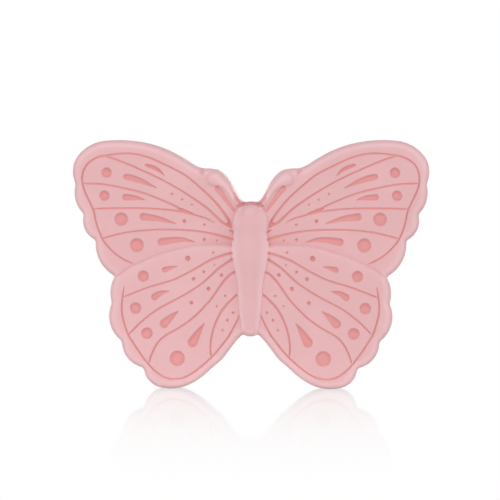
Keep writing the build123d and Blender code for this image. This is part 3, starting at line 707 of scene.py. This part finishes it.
def add_sides_and_back(shell, ring, back_round, pocket):
    """Adds the side wall, the rounded back edge, the flat back and the pocket."""
    rim = np.array([(shell.points[i][0], shell.points[i][2]) for i in ring])
    outward = normals(rim, closed=True)
    for inset, level in round_profile(back_round):
        next_ring = shell.add(rim - inset * outward, level)
        shell.bridge(ring, next_ring)
        ring = next_ring
    drawing = Drawing(rim)
    edge = np.array([(shell.points[i][0], shell.points[i][2]) for i in ring])
    mouth = rounded_rectangle(pocket["mouth"], pocket["mouth_corner"])
    drawing.add(edge, closed=True, clip=False)
    drawing.add(mouth, closed=True, clip=False)
    spread = np.array([(x, z) for x in np.arange(-31, 31.1, BACK_SPACING)
                       for z in np.arange(1.5, 45, BACK_SPACING)])
    clear = inside(spread, edge)
    clear &= distance(spread, np.vstack([edge, edge[:1]])) > EDGE_CLEARANCE
    clear &= distance(spread, np.vstack([mouth, mouth[:1]])) > MOUTH_CLEARANCE
    clear &= ~inside(spread, mouth)
    drawing.points += spread[clear].tolist()
    flat, triangles, origins = drawing.triangles(list(range(len(edge))))
    mouth_ring = shell.add(mouth, 0.0)
    numbers = {}
    for number, sources in enumerate(origins):
        source = min(sources) if sources else -1
        if 0 <= source < len(edge):
            numbers[number] = ring[source]
        elif len(edge) <= source < len(edge) + len(mouth):
            numbers[number] = mouth_ring[source - len(edge)]
        else:
            numbers[number] = shell.add(flat[number:number + 1], 0.0)[0]
    for face in triangles:
        middle = flat[list(face)].mean(0)[None]
        if not inside(middle, mouth)[0]:
            shell.faces.append(tuple(numbers[i] for i in reversed(face)))
    chamber = rounded_rectangle(pocket["chamber"], pocket["chamber_corner"])
    lip_inside = shell.add(mouth, pocket["lip"])
    chamber_low = shell.add(chamber, pocket["lip"])
    chamber_end = shell.add(chamber, pocket["depth"])
    shell.bridge(mouth_ring, lip_inside)
    shell.bridge(lip_inside, chamber_low)
    shell.bridge(chamber_low, chamber_end)
    shell.faces.append(tuple(reversed(chamber_end)))


def pocket_shape(clearance=0.05, corner=4.0, lip=0.8, overlap=2.0):
    """The pocket that takes the core plate, read from the plate's own box."""
    low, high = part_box("core_plate")
    x0, z0, x1, z1 = [v / MM for v in (low.x, low.z, high.x, high.z)]
    gap = clearance
    inset = overlap - gap
    return {
        "chamber": ((x0 - gap, z0 - gap), (x1 + gap, z1 + gap)), "chamber_corner": corner + gap,
        "mouth": ((x0 + inset, z0 + inset), (x1 - inset, z1 - inset)),
        "mouth_corner": corner - inset, "lip": lip, "depth": BACK_Y - low.y / MM + gap,
    }


def add_object(name, data):
    """A new object in the scene."""
    made = bpy.data.objects.new(name, data)
    bpy.context.scene.collection.objects.link(made)
    return made


def mesh_object(name, points, faces):
    """A smooth-shaded mesh object with its place in its mesh, from points in millimetres."""
    mesh = bpy.data.meshes.new(name)
    mesh.from_pydata([(x * MM, y * MM, z * MM) for x, y, z in points], [], faces)
    mesh.update()
    mesh.polygons.foreach_set("use_smooth", [True] * len(mesh.polygons))
    return add_object(name, mesh)


# --- shader helper
class Value:
    """A socket whose arithmetic adds Math nodes."""

    def __init__(self, tree, socket):
        self.tree, self.socket = tree, socket

    def math(self, operation, *others, reverse=False):
        node = self.tree.nodes.new("ShaderNodeMath")
        node.operation = operation
        terms = [self, *others]
        for place, term in zip(node.inputs, reversed(terms) if reverse else terms):
            if isinstance(term, Value):
                self.tree.links.new(term.socket, place)
            else:
                place.default_value = term
        return Value(self.tree, node.outputs[0])

    def __add__(self, other): return self.math("ADD", other)
    __radd__ = __add__
    def __sub__(self, other): return self.math("SUBTRACT", other)
    def __rsub__(self, other): return self.math("SUBTRACT", other, reverse=True)
    def __mul__(self, other): return self.math("MULTIPLY", other)
    __rmul__ = __mul__
    def __pow__(self, other): return self.math("POWER", other)

    def clamp(self):
        """The value limited to between 0 and 1."""
        return self.math("MAXIMUM", 0.0).math("MINIMUM", 1.0)


class Tree:
    """A node tree, with one method that adds any node."""

    def __init__(self, tree):
        self.tree = tree

    def node(self, kind, settings=None, inputs=None, output=0):
        """Adds a node, sets its settings first and then its sockets, and returns an output."""
        node = self.tree.nodes.new(kind)
        for key, value in (settings or {}).items():
            setattr(node, key, value)
        for key, value in (inputs or {}).items():
            for single in value if isinstance(value, list) else [value]:
                self.set(node.inputs[key], single)
        return Value(self.tree, node.outputs[output]) if node.outputs else None

    def set(self, socket, value):
        """Links a value to a socket, or sets it."""
        if isinstance(value, Value):
            self.tree.links.new(value.socket, socket)
        else:
            socket.default_value = value

    def white_light(self, kind, strength):
        """White as the camera sees it, but a weaker light on the object."""
        diffuse = self.node("ShaderNodeLightPath", output="Is Diffuse Ray")
        bright, dim = [self.node(kind, {}, {"Color": WHITE, "Strength": share})
                       for share in (1.0, strength)]
        return self.node("ShaderNodeMixShader", {}, {0: diffuse, 1: bright, 2: dim})


class Material(Tree):
    """A new node material."""

    def __init__(self, name):
        self.material = bpy.data.materials.new(name)
        self.material.use_nodes = True
        super().__init__(self.material.node_tree)
        self.shader = self.tree.nodes["Principled BSDF"]

    def shade(self, **values):
        """Sets the main shader's sockets; underscores stand for spaces."""
        for key, value in values.items():
            self.set(self.shader.inputs[key.replace("_", " ")], value)

    def where(self):
        """Object coordinates."""
        return self.node("ShaderNodeTexCoord", output="Object")

    def noise(self, scale, detail=3.0, roughness=0.5, vector=None):
        """Noise between 0 and 1 at so many cells to the metre."""
        inputs = {"Scale": scale, "Detail": detail, "Roughness": roughness,
                  "Vector": vector or self.where()}
        return self.node("ShaderNodeTexNoise", {}, inputs)

    def mix(self, factor, first, second):
        """A blend of two colours."""
        return self.node("ShaderNodeMix", {"data_type": "RGBA"},
                         {0: factor, 6: first, 7: second}, output=2)

    def bump(self, height, strength, distance_m, normal=None):
        """A bump normal from a height."""
        inputs = {"Height": height, "Strength": strength, "Distance": distance_m}
        if normal:
            inputs["Normal"] = normal
        return self.node("ShaderNodeBump", {}, inputs)


def rgba(colour, gain=1.0):
    """A colour with its alpha, made lighter or darker."""
    return tuple(min(1.0, c * gain) for c in colour) + (1.0,)


def silicone_material(colours):
    """Soft matte silicone: pale pink, coral in the engraving, painted highlight on its rims and painted
    shade by the body.
    """
    m = Material("pink_silicone")
    engraved, bloom, shade = [
        m.node("ShaderNodeAttribute", {"attribute_name": name}, output="Fac")
        for name in ("engraving", "bloom", "shade")]
    patches = m.noise(140.0, 3.0)
    grain = m.noise(5200.0, 4.0, 0.6)
    dust = m.noise(1800.0, 2.0, 0.7)
    pink = m.mix(patches.clamp(), rgba(colours.silicone, 0.97), rgba(colours.silicone, 1.03))
    # Painted shade where the wings meet the body and over the head.
    pink = m.mix((shade * 0.75).clamp(), pink, rgba(colours.shade))
    # Painted highlight on rims, body and antennae, mixed with random paler patches.
    pale = (bloom * 0.75 + (patches - 0.5) * 0.3).clamp()
    pink = m.mix(pale, pink, rgba(colours.bloom))
    colour = m.mix(engraved.clamp(), pink, rgba(colours.coral))
    fine = m.bump(grain, 0.25, 0.00003)
    m.shade(Base_Color=colour, Roughness=0.52 + (dust - 0.5) * 0.16,
            Normal=m.bump(dust, 0.2, 0.00008, fine))
    m.shade(Subsurface_Weight=0.15, Subsurface_Radius=(1.0, 0.45, 0.4), Subsurface_Scale=0.0008,
            Specular_IOR_Level=0.22, Sheen_Weight=0.06, Sheen_Roughness=0.4,
            Sheen_Tint=rgba(colours.bloom))
    return m.material


def plastic_material(name, colour, roughness=0.42):
    """Moulded plastic: fine spark-eroded grain and slight flow marks."""
    m = Material(name)
    flow = m.noise(90.0, 2.0)
    grain = m.noise(6500.0, 3.0, 0.65)
    shade = m.mix(flow, rgba(colour, 0.96), rgba(colour, 1.04))
    m.shade(Base_Color=shade, Roughness=roughness + (flow - 0.5) * 0.12 + (grain - 0.5) * 0.08,
            Normal=m.bump(grain, 0.3, 0.00003), Specular_IOR_Level=0.5)
    return m.material


def grip_material(name, colour):
    """Milky soft elastomer with a dry, slightly dusty skin."""
    m = Material(name)
    cloud = m.noise(320.0, 3.0)
    skin = m.noise(4200.0, 4.0, 0.6)
    shade = m.mix(cloud, rgba(colour, 0.95), rgba(colour, 1.05))
    m.shade(Base_Color=shade, Roughness=0.62 + (skin - 0.5) * 0.2,
            Normal=m.bump(skin, 0.35, 0.00004))
    m.shade(Subsurface_Weight=0.2, Subsurface_Radius=(1.0, 0.8, 0.7), Subsurface_Scale=0.0008)
    return m.material


def steel_material(name, colour):
    """Stainless steel with fine turning lines across its length."""
    m = Material(name)
    stretched = m.node("ShaderNodeMapping", {}, {"Vector": m.where(), "Scale": (9000, 900, 900)})
    lines = m.noise(1.0, 4.0, 0.7, stretched)
    smudge = m.noise(700.0, 3.0)
    shade = m.mix(smudge, rgba(colour, 0.9), rgba(colour, 1.08))
    m.shade(Base_Color=shade, Metallic=1.0, Roughness=0.32 + lines * 0.14 + (smudge - 0.5) * 0.1,
            Normal=m.bump(lines, 0.25, 0.00002))
    return m.material


# Radius of the grips' edges in millimetres, and a ridge's half width as a share of the pitch.
GRIP_EDGE, RIDGE_SHARE = 0.12, 0.42


def ridge_tree():
    """A tree that adds a row of rounded ridges along X to a soft grip's bed."""
    tree = bpy.data.node_groups.new("ridge_row", "GeometryNodeTree")
    face = tree.interface
    face.new_socket("Geometry", in_out="INPUT", socket_type="NodeSocketGeometry")
    for name, kind in (("Count", "Int"), ("Pitch", "Float"), ("Length", "Float"),
                       ("Half Width", "Float"), ("Proud", "Float"), ("Middle", "Vector"),
                       ("Material", "Material")):
        face.new_socket(name, in_out="INPUT", socket_type="NodeSocket" + kind)
    face.new_socket("Geometry", in_out="OUTPUT", socket_type="NodeSocketGeometry")

    node = Tree(tree).node
    given = {s.name: Value(tree, s) for s in node("NodeGroupInput").socket.node.outputs}
    ends = [node("ShaderNodeCombineXYZ", {}, {"X": given["Length"] * share})
            for share in (-0.5, 0.5)]
    line = node("GeometryNodeCurvePrimitiveLine", {}, {"Start": ends[0], "End": ends[1]})
    spine = node("GeometryNodeResampleCurve", {"mode": "COUNT"}, {"Curve": line, "Count": 17})
    circle = node("GeometryNodeCurvePrimitiveCircle", {}, {"Resolution": 16, "Radius": 1.0})
    end = (node("GeometryNodeSplineParameter", output="Factor") - 0.5).math("ABSOLUTE") * 2.0
    swell = (1.0 - end ** 24.0).math("SQRT") * 0.85 + 0.15
    bar = node("GeometryNodeCurveToMesh", {}, {"Curve": spine, "Profile Curve": circle,
                                               "Scale": swell, "Fill Caps": True})
    size = node("ShaderNodeCombineXYZ", {}, {"X": 1.0, "Y": given["Proud"],
                                             "Z": given["Half Width"]})
    ridge = node("GeometryNodeTransform", {}, {"Geometry": bar, "Scale": size})
    half_row = (given["Count"] - 1.0) * given["Pitch"] * -0.5
    lowest = node("ShaderNodeCombineXYZ", {}, {"Z": half_row})
    start = node("ShaderNodeVectorMath", {"operation": "ADD"}, {0: given["Middle"], 1: lowest})
    step = node("ShaderNodeCombineXYZ", {}, {"Z": given["Pitch"]})
    row = node("GeometryNodeMeshLine", {}, {"Count": given["Count"], "Start Location": start,
                                            "Offset": step})
    ridges = node("GeometryNodeInstanceOnPoints", {}, {"Points": row, "Instance": ridge})
    joined = node("GeometryNodeJoinGeometry", {}, {0: [given["Geometry"], ridges]})
    real = node("GeometryNodeRealizeInstances", {}, {"Geometry": joined})
    smooth = node("GeometryNodeSetShadeSmooth", {}, {"Geometry": real})
    done = node("GeometryNodeSetMaterial", {}, {"Geometry": smooth,
                                                "Material": given["Material"]})
    node("NodeGroupOutput", {}, {0: done})
    return tree


def soft_bed(name, box, corner, edge):
    """A soft block with rounded corners seen from behind and rounded edges, in metres."""
    low, high = box
    ring = rounded_rectangle(((low.x, low.z), (high.x, high.z)), corner)
    outward = normals(ring, closed=True)
    rings = [(inset, low.y + level) for inset, level in reversed(round_profile(edge))]
    rings += [(inset, low.y + high.y - y) for inset, y in reversed(rings)]
    points, faces, count = [], [], len(ring)
    for inset, y in rings:
        points += [(x, y, z) for x, z in ring - inset * outward]
    for level in range(len(rings) - 1):
        for i in range(count):
            j = (i + 1) % count
            a, b = level * count, (level + 1) * count
            faces.append((a + j, a + i, b + i, b + j))
    faces.append(tuple(range(count)))
    faces.append(tuple(reversed(range(len(points) - count, len(points)))))
    return mesh_object(name, [(x / MM, y / MM, z / MM) for x, y, z in points], faces)


def ridged_piece(bed, tree, values):
    """Runs the ridge tree on a bed and returns the plain mesh object that it makes."""
    modifier = bed.modifiers.new("ridges", "NODES")
    modifier.node_group = tree
    for item in tree.interface.items_tree:
        if item.in_out == "INPUT" and item.name in values:
            modifier[item.identifier] = values[item.name]
    graph = bpy.context.evaluated_depsgraph_get()
    mesh = bpy.data.meshes.new_from_object(bed.evaluated_get(graph))
    bed.modifiers.clear()
    bed.data = mesh
    return bed


def dress(node, material):
    """Gives a kept CAD piece its material in every slot."""
    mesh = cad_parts[node].data
    mesh.materials.clear()
    mesh.materials.append(material)


# --- operators
class PACIFIER_OT_butterfly(bpy.types.Operator):
    """Build the silicone butterfly face with its engraved relief"""
    bl_idname = "pacifier.butterfly"
    bl_label = "Butterfly Face"

    def execute(self, context):
        sizes = context.scene.butterfly_sizes
        relief = Relief(sizes)
        shell = Shell()
        ring = add_front(shell, relief)
        add_sides_and_back(shell, ring, sizes.back_round / MM, pocket_shape())
        piece = mesh_object("silicone_butterfly", shell.points, shell.faces)
        # Point attributes: the engraving share, painted highlight and painted shade.
        for name, values in shell.paint.items():
            layer = piece.data.attributes.new(name, "FLOAT", "POINT")
            layer.data.foreach_set("value", np.asarray(values, np.float32))
        piece.data.materials.append(silicone_material(context.scene.butterfly_colours))
        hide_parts("butterfly_face")
        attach(piece, "clip_body")
        return {"FINISHED"}


class PACIFIER_OT_core(bpy.types.Operator):
    """Give the plate inside the silicone its white plastic"""
    bl_idname = "pacifier.core"
    bl_label = "Core Plate"

    def execute(self, context):
        dress("core_plate", plastic_material("white_plastic", context.scene.clip_colours.core))
        return {"FINISHED"}


class PACIFIER_OT_frame(bpy.types.Operator):
    """Give the clip's frame its moulded plastic"""
    bl_idname = "pacifier.frame"
    bl_label = "Clip Frame"

    def execute(self, context):
        dress("clip_frame", plastic_material("pink_plastic", context.scene.clip_colours.plastic))
        return {"FINISHED"}


class PACIFIER_OT_lever(bpy.types.Operator):
    """Give the lever its plastic, polished a little by fingers"""
    bl_idname = "pacifier.lever"
    bl_label = "Lever"

    def execute(self, context):
        colour = context.scene.clip_colours.plastic
        dress("lever", plastic_material("lever_plastic", colour, roughness=0.36))
        return {"FINISHED"}


class PACIFIER_OT_metal(bpy.types.Operator):
    """Give the hinge pin and the two screws their steel"""
    bl_idname = "pacifier.metal"
    bl_label = "Pin and Screws"

    def execute(self, context):
        steel = steel_material("steel", context.scene.clip_colours.steel)
        for node in ("hinge_pin", "frame_screw_left", "frame_screw_right"):
            dress(node, steel)
        return {"FINISHED"}


class PACIFIER_OT_grips(bpy.types.Operator):
    """Build the ribbed pad in the frame and the toothed strip in the lever's nose"""
    bl_idname = "pacifier.grips"
    bl_label = "Soft Grips"

    def execute(self, context):
        sizes = context.scene.grip_sizes
        grip = grip_material("soft_grip", context.scene.clip_colours.grip)
        tree = ridge_tree()
        for node, name, body, pitch, facing, corner in (
                ("frame_grip_pad", "ribbed_pad", "clip_body", sizes.pad_pitch, 1, 1.0),
                ("lever_grip_teeth", "toothed_strip", "lever_arm", sizes.teeth_pitch, -1, 0.2)):
            low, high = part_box(node)
            tip, root = (high.y, low.y) if facing > 0 else (low.y, high.y)
            face = tip - facing * sizes.ridge_height
            box = (Vector((low.x, min(face, root), low.z)),
                   Vector((high.x, max(face, root), high.z)))
            bed = soft_bed(name, box, corner * MM, GRIP_EDGE * MM)
            piece = ridged_piece(bed, tree, {
                "Count": int((high.z - low.z) / pitch + 0.001), "Pitch": pitch,
                "Length": high.x - low.x - 2 * sizes.ridge_inset,
                "Half Width": pitch * RIDGE_SHARE, "Proud": sizes.ridge_height,
                "Middle": (0.0, face, (low.z + high.z) / 2), "Material": grip})
            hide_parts(node)
            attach(piece, body)
        return {"FINISHED"}


class PACIFIER_OT_stage(bpy.types.Operator):
    """Set out the pale floor, the soft lights and the camera"""
    bl_idname = "pacifier.stage"
    bl_label = "Stage"

    def execute(self, context):
        add_floor()
        add_lights()
        add_camera(context.scene.stage_settings)
        return {"FINISHED"}


def add_floor(size=6.0, gloss=0.5, reach=0.15, light=0.38):
    """A large white floor whose gloss is strongest round the butterfly's feet."""
    half = size / 2 / MM
    corners = [(-half, -half, 0), (half, -half, 0), (half, half, 0), (-half, half, 0)]
    floor = mesh_object("floor", corners, [(0, 1, 2, 3)])
    m = Material("white_floor")
    m.tree.nodes.remove(m.shader)
    away = m.node("ShaderNodeVectorMath", {"operation": "LENGTH"}, {0: m.where()}, output="Value")
    near = (1.0 - away * (1.0 / reach)).clamp()
    white = m.white_light("ShaderNodeEmission", light)
    mirror = m.node("ShaderNodeBsdfGlossy", {}, {"Color": WHITE, "Roughness": 0.06})
    blend = m.node("ShaderNodeMixShader", {}, {0: near ** 3.0 * gloss, 1: white, 2: mirror})
    m.set(m.tree.nodes["Material Output"].inputs["Surface"], blend)
    floor.data.materials.append(m.material)


# Each soft box: its place and side in metres, and its power in watts.
LIGHTS = {
    "key": ((-0.35, -0.75, 0.33), 0.55, 3.35),
    "fill": ((0.5, -0.65, 0.15), 0.5, 2.15),
    "left_side": ((-0.8, -0.3, 0.12), 0.4, 0.9),
    "right_side": ((0.8, -0.3, 0.12), 0.4, 1.5),
    "top": ((0, 0.5, 0.6), 0.5, 0.45),
    "back_key": ((0.4, 0.75, 0.22), 0.5, 3.6),
    "back_fill": ((-0.5, 0.65, 0.12), 0.5, 2.3),
}
LIGHTS_AIM = Vector((0, 0, 0.02))


def add_lights(surround_light=0.27):
    """A white surround, two soft boxes in front, two beside, one above and two behind."""
    bpy.context.scene.view_settings.view_transform = "Standard"
    world = bpy.data.worlds.new("studio")
    bpy.context.scene.world = world
    world.use_nodes = True
    surround = Tree(world.node_tree)
    surround.tree.nodes.clear()
    white = surround.white_light("ShaderNodeBackground", surround_light)
    surround.node("ShaderNodeOutputWorld", {}, {"Surface": white})
    for name, (place, size, power) in LIGHTS.items():
        data = bpy.data.lights.new(name, "AREA")
        data.size, data.energy = size, power
        light = add_object(name, data)
        light.location = place
        light.rotation_euler = (LIGHTS_AIM - Vector(place)).to_track_quat("-Z", "Y").to_euler()


def add_camera(settings):
    """A long lens in front of the butterfly, a little above it and to its right."""
    data = bpy.data.cameras.new("camera")
    data.lens = settings.lens
    away = settings.frame_width * settings.lens / data.sensor_width
    camera = add_object("camera", data)
    tilt, turn = settings.elevation, settings.turn
    aim = Vector((settings.aim_side, BACK_Y * MM, settings.aim_height))
    level = math.cos(tilt)
    towards = Vector((level * math.sin(turn), -level * math.cos(turn), math.sin(tilt)))
    camera.location = aim + away * towards
    camera.rotation_euler = (aim - camera.location).to_track_quat("-Z", "Y").to_euler()
    data.clip_start, data.clip_end = 0.01, 20
    bpy.context.scene.camera = camera


class PACIFIER_PT_panel(bpy.types.Panel):
    """The clip's pieces, in the order in which they are built"""
    bl_idname = "PACIFIER_PT_panel"
    bl_label = "Pacifier Clip"
    bl_space_type = "VIEW_3D"
    bl_region_type = "UI"
    bl_category = "Pacifier Clip"

    def draw(self, context):
        for place, kind in GROUPS.items():
            box = self.layout.box()
            for name in kind.__annotations__:
                box.prop(getattr(context.scene, place), name)
        for step in STEPS:
            self.layout.operator(step.bl_idname)


STEPS = (PACIFIER_OT_butterfly, PACIFIER_OT_core, PACIFIER_OT_frame, PACIFIER_OT_lever,
         PACIFIER_OT_grips, PACIFIER_OT_metal, PACIFIER_OT_stage)
GROUPS = {"butterfly_sizes": ButterflySizes, "butterfly_colours": ButterflyColours,
          "clip_colours": ClipColours, "grip_sizes": GripSizes,
          "stage_settings": StageSettings}


def register():
    for kind in (*GROUPS.values(), *STEPS, PACIFIER_PT_panel):
        bpy.utils.register_class(kind)
    for name, kind in GROUPS.items():
        setattr(bpy.types.Scene, name, PointerProperty(type=kind))


def unregister():
    for name in GROUPS:
        delattr(bpy.types.Scene, name)
    for kind in (PACIFIER_PT_panel, *STEPS, *GROUPS.values()):
        bpy.utils.unregister_class(kind)


def main():
    """Builds the whole scene."""
    register()
    bpy.ops.pacifier.butterfly()
    bpy.ops.pacifier.core()
    bpy.ops.pacifier.frame()
    bpy.ops.pacifier.lever()
    bpy.ops.pacifier.grips()
    bpy.ops.pacifier.metal()
    bpy.ops.pacifier.stage()


if __name__ == "__main__":
    main()
